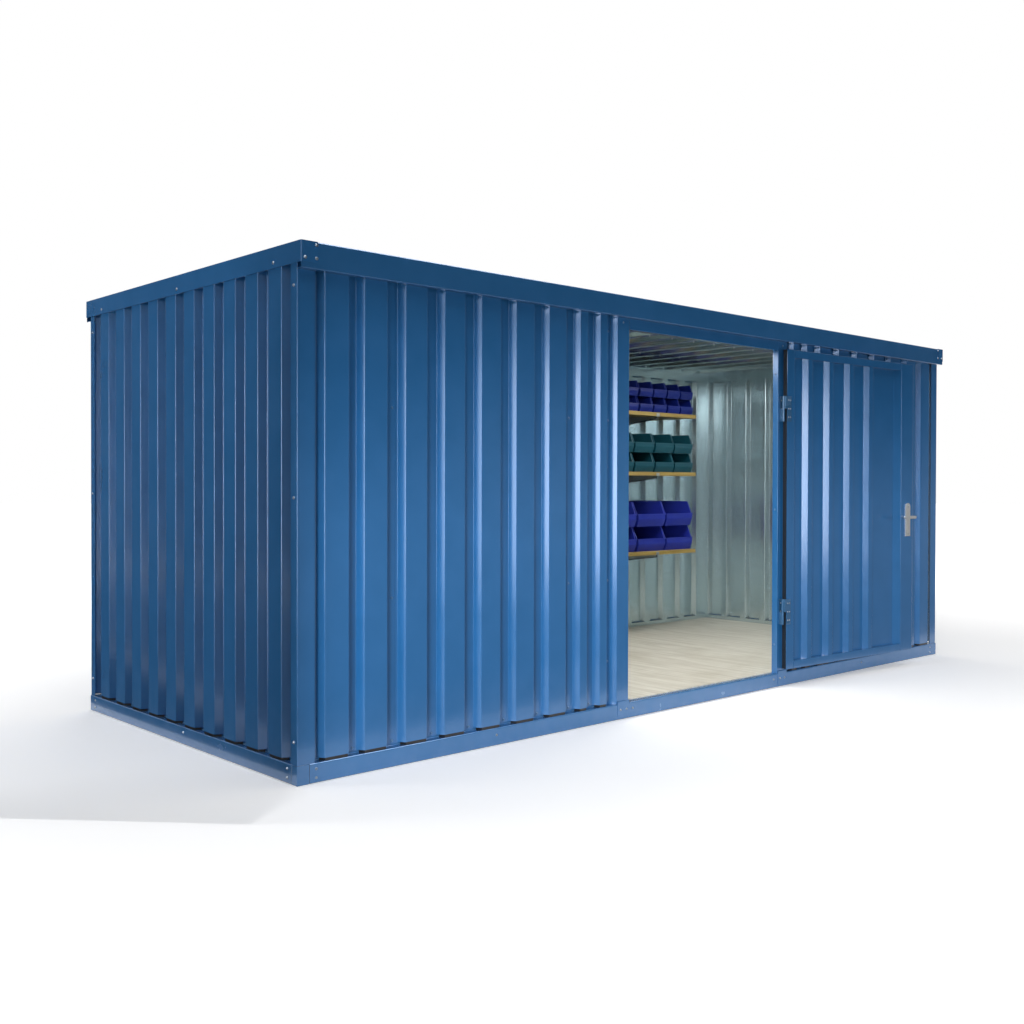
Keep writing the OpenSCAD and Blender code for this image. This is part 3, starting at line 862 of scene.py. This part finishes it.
def block(foot, head, material):
    """A solid between two four-cornered faces."""
    mesh = bpy.data.meshes.new("block")
    ends = [(0, 1, 2, 3), (7, 6, 5, 4)]
    sides = [(0, 4, 5, 1), (1, 5, 6, 2), (2, 6, 7, 3), (3, 7, 4, 0)]
    mesh.from_pydata(foot + head, [], ends + sides)
    mesh.materials.append(material)
    return mesh


shade_blocks = []
for place, ridges in (
    (on_front_left, front_ridges), (on_front_right, front_ridges), (on_left, left_ridges[:-1]),
    (on_right, right_ridges[:-1]), (on_rear, rear_ridges),
):
    for a, b in ridges:
        line = [(a - 0.008, 0.031), (a + 0.004, 0.0030), (b - 0.004, 0.0030), (b + 0.008, 0.031)]
        foot, head = ([place(s, d, z) for s, d in line] for z in (0.0805, 0.104))
        shade_blocks.append(block(foot, head, painted_shade))
# These black blocks paint the shade in the gaps under the ridges.
piece("ridge_foot_shade_blocks", shade_blocks, "dark_steel")

# ---------------- roof frame
# Long beams are channels folded from 3 mm sheet, in a darker copy of the blue enamel
# whose darkness is painted shade; the side beams close their ends and wrap round the
# corners. Galvanised webs and ledges stand inside.
ROOF_X, ROOF_Y, ROOF_TOP = 2.532, 1.092, 2.150
LONG_H, SIDE_H, TAB = 0.108, 0.085, 0.075
WEB_FOOT, CEILING, LEDGE = 2.040, 2.110, 0.030

# A darker copy of the blue enamel for the long roof beams: the darkening is painted shade.
shaded_blue = coated(
    "blue enamel darkened as painted shade", (0.017, 0.115, 0.290), (0.025, 0.140, 0.345), 0.24, dust=0.0
)

end_x, channel_foot = -ROOF_X + BEAM_T, ROOF_TOP - LONG_H
channel = [
    (end_x, -FACE_Y - 0.002, channel_foot), (end_x, -ROOF_Y + BEAM_T, channel_foot),
    (end_x, -ROOF_Y + BEAM_T, ROOF_TOP), (end_x, -LIP_Y + BEAM_T, ROOF_TOP),
]
web = [(-2.4865, -LIP_Y, WEB_FOOT), (-2.4865, -LIP_Y, ROOF_TOP - 0.001)]
ledge = [(-2.4835, -LIP_Y + LEDGE, CEILING), (-2.4835, -LIP_Y + 0.001, CEILING)]
front_roof = [
    folded(channel, (-2 * end_x, 0, 0), -BEAM_T, BEAM_FOLD, shaded_blue, shaded_blue),
    folded(web, (4.973, 0, 0), -BEAM_T, outside=shaded_blue),
    folded(ledge, (4.967, 0, 0), BEAM_T, outside=zinc),
]

side_foot, tab_x, web_x = ROOF_TOP - SIDE_H, -ROOF_X + TAB, -LIP_X + BEAM_T
wrap = [(tab_x, -ROOF_Y), (-ROOF_X, -ROOF_Y), (-ROOF_X, ROOF_Y), (tab_x, ROOF_Y)]
WEB_END, LEDGE_END = 1.0085, 0.9805
side_web = [
    (-ROOF_X + 0.0015, -WEB_END, ROOF_TOP), (web_x, -WEB_END, ROOF_TOP),
    (web_x, -WEB_END, WEB_FOOT),
]
foot_lip = [(-ROOF_X + inset, -WEB_END, side_foot) for inset in (0.0095, 0.0015)]
side_ledge = [(-LIP_X + inset + 0.0015, -LEDGE_END, CEILING) for inset in (0, LEDGE)]
left_roof = [
    folded([(x, y, side_foot) for x, y in wrap], (0, 0, SIDE_H), -BEAM_T, inside=blue),
    folded(side_web, (0, 2 * WEB_END, 0), BEAM_T, outside=zinc),
    folded(foot_lip, (0, 2 * WEB_END, 0), BEAM_T, inside=blue),
    folded(side_ledge, (0, 2 * LEDGE_END, 0), -BEAM_T, outside=zinc),
]
for side, meshes in (
    ("front", front_roof), ("rear", mirrored(front_roof, "y")), ("left", left_roof),
    ("right", mirrored(left_roof, "x")),
):
    beam = "roof_beam_" + side
    piece(beam + "_coated", meshes, "blue_paint", beam)

side_row = [(y, 2.087) for y in (-0.875, 0.01, 0.885)]
roof_spots = [((-ROOF_X, y, z), LEFT) for y, z in side_row]
for x, z in ((-2.463, 2.137), (-2.513, 2.084), (-2.463, 2.084)):
    roof_spots += [((s * x, -ROOF_Y, z), FRONT) for s in (-1, 1)]
    roof_spots += [((s * x, ROOF_Y, z), REAR) for s in (-1, 1)]
roof_spots += [((ROOF_X, y, z), RIGHT) for y, z in side_row]
piece("roof_bolts", [screws(roof_spots, 0.0075, 0.0052, 0.0015)], "galvanised")

# ---------------- roof sheet
# Galvanised trapezoidal sheet lies on the ledges, its ribs running from front to rear
# so that water sheds. It is screwed down through its troughs.
ROOF_RIDGE, ROOF_END, ROOF_HALF = 0.120, 2.481, 1.008
RIDGE_TOP = CEILING + RIB_D + SHEET_T


def on_roof(s, depth):
    """Places on the roof sheet, at a distance along the roof and a depth below its ridges."""
    return (s, ROOF_HALF, RIDGE_TOP - depth)


roof_ribs = [(m - ROOF_RIDGE / 2, m + ROOF_RIDGE / 2) for m in rear_middles]
across = (0, -2 * ROOF_HALF, 0)
sheets = lapped(
    -ROOF_END, roof_ribs, ROOF_END, rear_laps, on_roof, -SHEET_T, across, -0.0016, zinc
)
piece("roof_sheets", sheets, "galvanised", "roof_sheet")
OUTER_ROW, INNER_ROW = 0.99, 0.33
sheet_spots = [
    ((x, y, CEILING + SHEET_T), (0, 0, 1)) for x in troughs(roof_ribs)
    for y in (-OUTER_ROW, -INNER_ROW, INNER_ROW, OUTER_ROW)
]
tips = [
    ((x, y, CEILING), (0, 0, -1)) for x in troughs(roof_ribs) for y in (-INNER_ROW, INNER_ROW)
]
roof_screws = [screws(sheet_spots, 0.0070), screws(tips, 0.0042, 0.0024, 0.0080, 8)]
piece("roof_sheet_screws", roof_screws, "galvanised")

# ---------------- door frame
# Two posts folded from sheet stand on the front beam, each with a flange lapped over
# the wall and a deep reveal. A lintel joins them, and foot plates are bolted below.
DOOR_POST, REVEAL, PLATE_T = 0.086, 0.040, 0.002
REVEAL_TOP, LINTEL_FOOT = 2.039, 1.988
post_path = [
    (-0.761, 0.0335), (-0.733, 0.0335), (POST_OUT_LEFT, 0.0), (DOOR_LEFT, 0.0),
    (DOOR_LEFT, REVEAL), (DOOR_LEFT - 0.030, REVEAL),
]


def post_part(path, z0, z1):
    """A length of a door post."""
    line = [(x, -FACE_Y + depth, z0) for x, depth in path]
    return folded(line, (0, 0, z1 - z0), SHEET_T, POST_FOLD, inside=blue)


plate_front, plate_top = -CORNER_Y - PLATE_T, 0.094
foot_plate = [
    (POST_OUT_LEFT, plate_front, 0.014), (POST_OUT_LEFT, plate_front, plate_top),
    (POST_OUT_LEFT, -FACE_Y + SHEET_T, plate_top),
]
left_post = [
    post_part(post_path, BEAM_H, REVEAL_TOP), post_part(post_path[:4], REVEAL_TOP, WALL_HEAD),
    folded(foot_plate, (DOOR_POST, 0, 0), -PLATE_T, POST_FOLD, inside=blue),
]
over_door = Matrix.Translation((DOOR_LEFT + DOOR_RIGHT, 0, 0))
right_post = moved(left_post, over_door @ Matrix.Scale(-1, 4, Vector((1, 0, 0))))
for side, meshes in (("left", left_post), ("right", right_post)):
    post = "door_post_" + side
    piece(post + "_folded", meshes, "blue_paint", post)

lintel_start = DOOR_LEFT + 0.0005
lintel = [
    (lintel_start, -FACE_Y + REVEAL, LINTEL_FOOT), (lintel_start, -FACE_Y, LINTEL_FOOT),
    (lintel_start, -FACE_Y, WALL_HEAD),
]
lintel_run = (DOOR_RIGHT - DOOR_LEFT - 0.001, 0, 0)
lintel_meshes = [folded(lintel, lintel_run, -PLATE_T, POST_FOLD, inside=blue)]
piece("door_lintel_folded", lintel_meshes, "blue_paint", "door_lintel")
frame_spots = [((x, plate_front, 0.050), FRONT) for x in (-0.692, -0.648, 0.670, 0.714)]
piece("door_post_bolts", [screws(frame_spots)], "galvanised")
small_spots = [((x, -FACE_Y, 2.020), FRONT) for x in (-0.671, 0.693)]
for x, way in ((DOOR_LEFT, RIGHT), (DOOR_RIGHT, LEFT)):
    small_spots += [((x, -FACE_Y + REVEAL / 2, z), way) for z in (0.25, 1.05, 1.85)]
piece("door_frame_screws", [screws(small_spots, *SMALL, metal=blue_head)], "blue_paint")

# ---------------- shelves
# Yellow lacquered laminated boards rest on three pairs of steel consoles that are
# screwed to the ribs of the rear wall, each held by a clip at its front edge.
SHELF_FRONT, BOARD_T = 0.512, 0.027
BOARD_TOPS = {"bottom": 0.708, "middle": 1.286, "top": 1.721}
CONSOLES = (1.320, 0.180)
board = timber(
    "yellow lacquered board", (0.22, 0.15, 0.038), (0.32, 0.23, 0.070), (1.2, 22, 22), 3.0, 0.42,
    0.0004,
)
for shelf in BOARD_TOPS:
    softened("shelf_" + shelf, board, 0.0015)

# The consoles are coated near black; on their lower flanges this black is painted shade, and thin
# grey plates on their webs show the webs' own grey.
dark = coated(
    "dark console coat, painted shade", (0.020, 0.022, 0.025), (0.045, 0.048, 0.052), 0.45, 0.0002, dust=0
)
grey = galvanised("console web", (0.42, 0.44, 0.44), 0.42)
softened("shelf_brackets", dark, 0.0006)

clips, web_faces = [], []
for x in CONSOLES:
    for top in BOARD_TOPS.values():
        under = top - BOARD_T
        clip_x, clip_y, clip_z = x - 0.016, SHELF_FRONT - 0.0018, under - 0.0018
        clip = [
            (clip_x, SHELF_FRONT + 0.030, clip_z), (clip_x, clip_y, clip_z),
            (clip_x, clip_y, top - 0.006),
        ]
        clips.append(folded(clip, (0.032, 0, 0), SHEET_T, 0.002, grey, grey))
        y0, y1, z1 = SHELF_FRONT + 0.012, SHELF_FRONT + 0.499, under - 0.0005
        outline = [(y0, z1), (y1, z1), (y1, z1 - 0.070), (y0, z1 - 0.014)]
        for face in (x - 0.0026, x + 0.0026):
            foot, head = ([(face + t, y, z) for y, z in outline] for t in (-0.0005, 0.0005))
            web_faces.append(block(foot, head, grey))
piece("shelf_clips", clips, "dark_steel")
piece("shelf_bracket_webs", web_faces, "dark_steel")

# ---------------- bins
# Moulded stacking bins with an open front, a rolled rim and a recessed label field,
# standing two rows high on each shelf: six, nine and thirteen in a row.


def moulded(name, deep, light, rough):
    """Injection-moulded plastic: even colour, a fine spark-eroded grain and some scuffs."""
    material, tree, plastic = finish(name)
    skin = pattern(tree, rolled, Ripple=0.0003, Peel=0.00012)
    values = {
        "Base Color": blend(tree, skin["Mottle"], deep, light),
        "Roughness": about(tree, skin["Mottle"], rough, 0.14),
        "Normal": relief(tree, skin["Height"]), "Specular IOR Level": 0.35,
    }
    feed(tree, plastic, values)
    return material


standing, come = group(
    "row of bins",
    "GeometryNodeTree",
    {
        "Bin": "Geometry", "Columns": "Int", "First": "Vector", "Step": "Vector", "Play": "Float",
        "Plastic": "Material",
    },
    {"Row": "Geometry"},
)
values = {"Count": come["Columns"], "Start Location": come["First"], "Offset": come["Step"]}
row = node(standing, "GeometryNodeMeshLine", values)
values = {"Min": (-0.2, -1.0, 0.0), "Max": (0.2, 1.0, 0.0), "Seed": 5}
chance = node(standing, "FunctionNodeRandomValue", values, data_type="FLOAT_VECTOR")
values = {0: chance, "Scale": come["Play"]}
nudge = node(standing, "ShaderNodeVectorMath", values, operation="SCALE")
shifted = node(standing, "GeometryNodeSetPosition", {"Geometry": row, "Offset": nudge})
scattered(standing, shifted, come["Bin"], come["Plastic"], "Row")


def new_edge(body):
    """Draws out the open brim and gives its new points."""
    brim = [e for e in body.edges if e.is_boundary]
    grown = bmesh.ops.extrude_edge_only(body, edges=brim)["geom"]
    return [g for g in grown if isinstance(g, bmesh.types.BMVert)]


def stacking_bin(width, depth, height):
    """One bin, its lip at y = 0, middle at x = 0 and foot at z = 0, with a rolled rim."""
    half, high, lean = (width - 0.003) / 2, height - 0.001, (height - 0.001) * 0.16
    inset, rim, lip_drop, wall_t = 0.0035, 0.0032, 0.0055, 0.0022
    side = [
        (lean * 0.7, 0.0), (0.0015, high * 0.28), (0.0015, high * 0.50),
        (lean * 1.9 + 0.002, high - 0.0005), (depth - 0.004, high - 0.0005), (depth - 0.004, 0.0),
    ]

    def spread(z):
        return half - inset - 0.06 * half * (1 - z / high)

    body = bmesh.new()
    one, other = [[body.verts.new((s * spread(z), y, z)) for y, z in side] for s in (-1, 1)]
    walls = [body.faces.new(one), body.faces.new(list(reversed(other)))]
    body.faces.new([one[0], one[5], other[5], other[0]])
    body.faces.new([one[0], other[0], other[1], one[1]])
    label = body.faces.new([one[1], other[1], other[2], one[2]])
    body.faces.new([one[5], one[4], other[4], other[5]])
    bmesh.ops.recalc_face_normals(body, faces=body.faces)
    for face, edge, deep in ((label, 0.010, 0.0012), *((wall, 0.014, 0.0014) for wall in walls)):
        bmesh.ops.inset_region(body, faces=[face], thickness=edge, depth=-deep)
    for vert in new_edge(body):
        vert.co.x += rim * (1 if vert.co.x > 0 else -1)
        vert.co.z += 0.0004
        if vert.co.y > depth * 0.5:
            vert.co.y += rim
        elif vert.co.z < high * 0.6:
            vert.co.y -= 0.0012
    for vert in new_edge(body):
        vert.co.z -= lip_drop
    mesh = bpy.data.meshes.new("bin")
    body.to_mesh(mesh)
    body.free()
    holder = put("bin", mesh)
    wall = holder.modifiers.new("wall", "SOLIDIFY")
    wall.thickness = wall_t
    wall.offset = -1
    return plain(holder)


SHELF_END, LIP_BACK, BIN_PLAY = 1.747, 0.020, 0.004
for size, shelf, (w, d, h), count, slot, deep, light in (
    ("large", "bottom", (0.310, 0.470, 0.180), 6, "bin_blue",
     (0.009, 0.015, 0.18), (0.016, 0.029, 0.29)),
    ("medium", "middle", (0.217, 0.350, 0.142), 9, "bin_green",
     (0.003, 0.038, 0.055), (0.007, 0.064, 0.088)),
    ("small", "top", (0.150, 0.230, 0.113), 13, "bin_dark_blue",
     (0.003, 0.008, 0.100), (0.006, 0.017, 0.18)),
):
    plastic = moulded(size + " bin plastic", deep, light, 0.40)
    for row, name in enumerate(("lower", "upper")):
        foot = BOARD_TOPS[shelf] + row * h
        values = {
            "Columns": count, "First": (SHELF_END - w / 2, SHELF_FRONT + LIP_BACK, foot),
            "Step": (-w, 0, 0), "Play": BIN_PLAY, "Plastic": plastic,
        }
        bins = f"bins_{size}_{name}"
        meshes = [made(standing, stacking_bin(w, d, h), values)]
        piece(bins + "_moulded", meshes, slot, bins)

# ---------------- door leaf
# A wide leaf of folded stiles and rails round a trapezoidal sheet, coated in a darker
# copy of the blue enamel whose darkness is painted shade. It is drawn shut and swung
# open about its pins, flat back beside the doorway.
AXIS_X, AXIS_Y, OPEN = 0.668, -1.0745, 176.67
LEAF_LEFT, LEAF_RIGHT = -0.658, 0.656
LEAF_OUT, LEAF_IN = -1.0925, -1.0565
LEAF_FOOT, LEAF_TOP = 0.104, 1.996
HINGE_STILE, LOCK_STILE, RAIL = 0.068, 0.135, 0.046
LEAF_FOLD, FIT = 0.003, 0.0005
swing = (
    Matrix.Translation((AXIS_X, AXIS_Y, 0)) @ Matrix.Rotation(math.radians(OPEN), 4, "Z")
    @ Matrix.Translation((-AXIS_X, -AXIS_Y, 0))
)
ON_DOOR = {"body": "door", "place": swing}
# The leaf's enamel is the walls' blue made darker: the darkening is painted shade.
shaded_leaf_blue = coated(
    "blue enamel, door leaf, darkened as painted shade", (0.014, 0.104, 0.270), (0.021, 0.128, 0.325), 0.2, dust=0.05
)

stile_back = LEAF_RIGHT - HINGE_STILE
stile = [
    (LEAF_RIGHT, LEAF_OUT, LEAF_FOOT), (stile_back, LEAF_OUT, LEAF_FOOT),
    (stile_back, LEAF_IN, LEAF_FOOT), (LEAF_RIGHT, LEAF_IN, LEAF_FOOT),
]
stile_run = (0, 0, LEAF_TOP - LEAF_FOOT)
stile_meshes = [folded(stile, stile_run, -PLATE_T, LEAF_FOLD, shaded_leaf_blue, shaded_leaf_blue)]
piece("door_hinge_stile_folded", stile_meshes, "blue_paint", "door_hinge_stile", **ON_DOOR)
for name in ("door_lock_stile", "door_top_rail", "door_bottom_rail"):
    softened(name, shaded_leaf_blue, 0.0018)

# The leaf's sheet has four ribs of its own, counted back from the hinge stile.
sheet_start = LEAF_LEFT + LOCK_STILE + FIT
span = stile_back - FIT - sheet_start
deepest = 0.0325
leaf_line = [(0.0, deepest), (0.002, deepest), (0.042, 0.0)]
for k in (3, 2, 1, 0):
    b = span - RIDGE - RIB_PITCH * k
    a = b - 0.084
    leaf_line += [(a, 0.0), (a + 0.022, deepest), (b - 0.022, deepest), (b, 0.0)]
leaf_line += [(span - 0.014, 0.0), (span - 0.002, deepest), (span, deepest)]
leaf_corners = [
    (sheet_start + s, LEAF_OUT + FIT + d, LEAF_FOOT + RAIL + FIT) for s, d in leaf_line
]
leaf_run = (0, 0, LEAF_TOP - LEAF_FOOT - 2 * RAIL - 2 * FIT)
leaf_meshes = [folded(leaf_corners, leaf_run, SHEET_T, LEAF_FOLD, shaded_leaf_blue, shaded_leaf_blue)]
piece("door_sheet_folded", leaf_meshes, "blue_paint", "door_sheet", **ON_DOOR)

# Black rubber strip that fills the mouth of the hinge stile and seals its edge.
# The same black also paints the shade of the keyway on the lock cylinders.
rubber_and_keyway_shade = moulded("black rubber", (0.003, 0.006, 0.011), (0.007, 0.012, 0.020), 0.90)
softened("door_seal", rubber_and_keyway_shade, 0.0015)

# ---------------- hinges
# Two lift-off hinges of steel plate and tube, zinc plated under a thin blue coat,
# each leaf held by six screws.
HINGE_FEET, HINGE_ROWS, HINGE_T = (0.370, 1.570), (0.025, 0.075, 0.125), 0.0025
HINGE_SCREW = (0.0044, 0.0036, 0.0012, 12)
hinge_coat = coated(
    "thin blue coat on hinges", (0.022, 0.090, 0.200), (0.04, 0.13, 0.26), 0.28, 0.0, dust=0
)
softened("hinge_plates", hinge_coat, 0.0007)
softened("door_hinge_leaves", hinge_coat, 0.0007)


def hinge_spots(columns, y, way):
    """Six spots on the leaf of each hinge."""
    return [((x, y, foot + up), way) for foot in HINGE_FEET for x in columns for up in HINGE_ROWS]


fixed_spots = hinge_spots((AXIS_X + 0.012, AXIS_X + 0.028), -FACE_Y - HINGE_T, FRONT)
piece("hinge_plate_screws", [screws(fixed_spots, *HINGE_SCREW)], "stainless")
moving_spots = hinge_spots((LEAF_RIGHT - 0.010, LEAF_RIGHT - 0.026), LEAF_IN + HINGE_T, REAR)
piece("door_hinge_screws", [screws(moving_spots, *HINGE_SCREW)], "stainless", **ON_DOOR)

# ---------------- lever set
# Satin stainless plates on both faces of the lock stile, a lock cylinder below the
# lever, and two levers on one spindle with rounded grips.
LEVER_X, LEVER_Z, PLATE_OUT = -0.596, 0.985, 0.008
LOCK_Z, LOCK_R = LEVER_Z - 0.072, 0.0085


def satin(name, tint, rough):
    """Brushed stainless steel, its fine lines drawn upright."""
    material, tree, metal = finish(name)
    lines = pattern(tree, grain, Along=(900, 900, 18), Rings=1.0)["Grain"]
    values = {
        "Base Color": blend(tree, lines, [c * 0.85 for c in tint], tint),
        "Roughness": about(tree, lines, rough, 0.18), "Normal": relief(tree, lines, 0.00004),
        "Metallic": 0.7,
    }
    feed(tree, metal, values)
    return material


steel = satin("satin stainless steel", (0.66, 0.66, 0.65), 0.30)
softened("lever_plates", steel, 0.0022)
softened("door_levers", steel, 0.0036)

# A cylinder's round head narrows below to a blunt foot, and a thin black block on its
# face is the painted shade of a keyway.
turns = [math.tau * i / 20 for i in range(-7, 8)]
outline = [(LOCK_R * math.sin(a), LOCK_R * math.cos(a)) for a in turns]
outline += [(0.005, -0.0215), (0.0035, -0.0245), (0, -0.0255)]
outline += [(-0.0035, -0.0245), (-0.005, -0.0215)]
cylinder = []
for face, way in ((LEAF_OUT - PLATE_OUT, -1), (LEAF_IN + PLATE_OUT, 1)):
    turned = bmesh.new()
    near, far = (
        [turned.verts.new((LEVER_X + x, face + way * deep, LOCK_Z + z)) for x, z in outline]
        for deep in (-0.001, 0.0026)
    )
    turned.faces.new(far)
    turned.faces.new(near)
    for i in range(len(outline)):
        j = (i + 1) % len(outline)
        turned.faces.new([near[i], near[j], far[j], far[i]])
    bmesh.ops.recalc_face_normals(turned, faces=turned.faces)
    # No keyway is cut: this thin black block on the face is painted shade.
    slot = bmesh.new()
    bmesh.ops.create_cube(slot, size=1.0)
    keyway_shade_size = Matrix.Diagonal((0.0016, 0.0010, 0.0085, 1))
    slot.transform(Matrix.Translation((LEVER_X, face + way * 0.0022, LOCK_Z)) @ keyway_shade_size)
    for shape, material in ((turned, steel), (slot, rubber_and_keyway_shade)):
        mesh = bpy.data.meshes.new("lock part")
        shape.to_mesh(mesh)
        shape.free()
        mesh.materials.append(material)
        cylinder.append(mesh)
piece("lock_cylinder", cylinder, "stainless", arris=0.0004, **ON_DOOR)
plate_spots = [
    ((LEVER_X, face, z), way) for z in (LEVER_Z + 0.068, LEVER_Z - 0.112)
    for face, way in ((LEAF_OUT - PLATE_OUT, FRONT), (LEAF_IN + PLATE_OUT, REAR))
]
plate_screws = screws(plate_spots, 0.0046, 0.0038, 0.0010, 12)
piece("lever_plate_screws", [plate_screws], "stainless", **ON_DOOR)
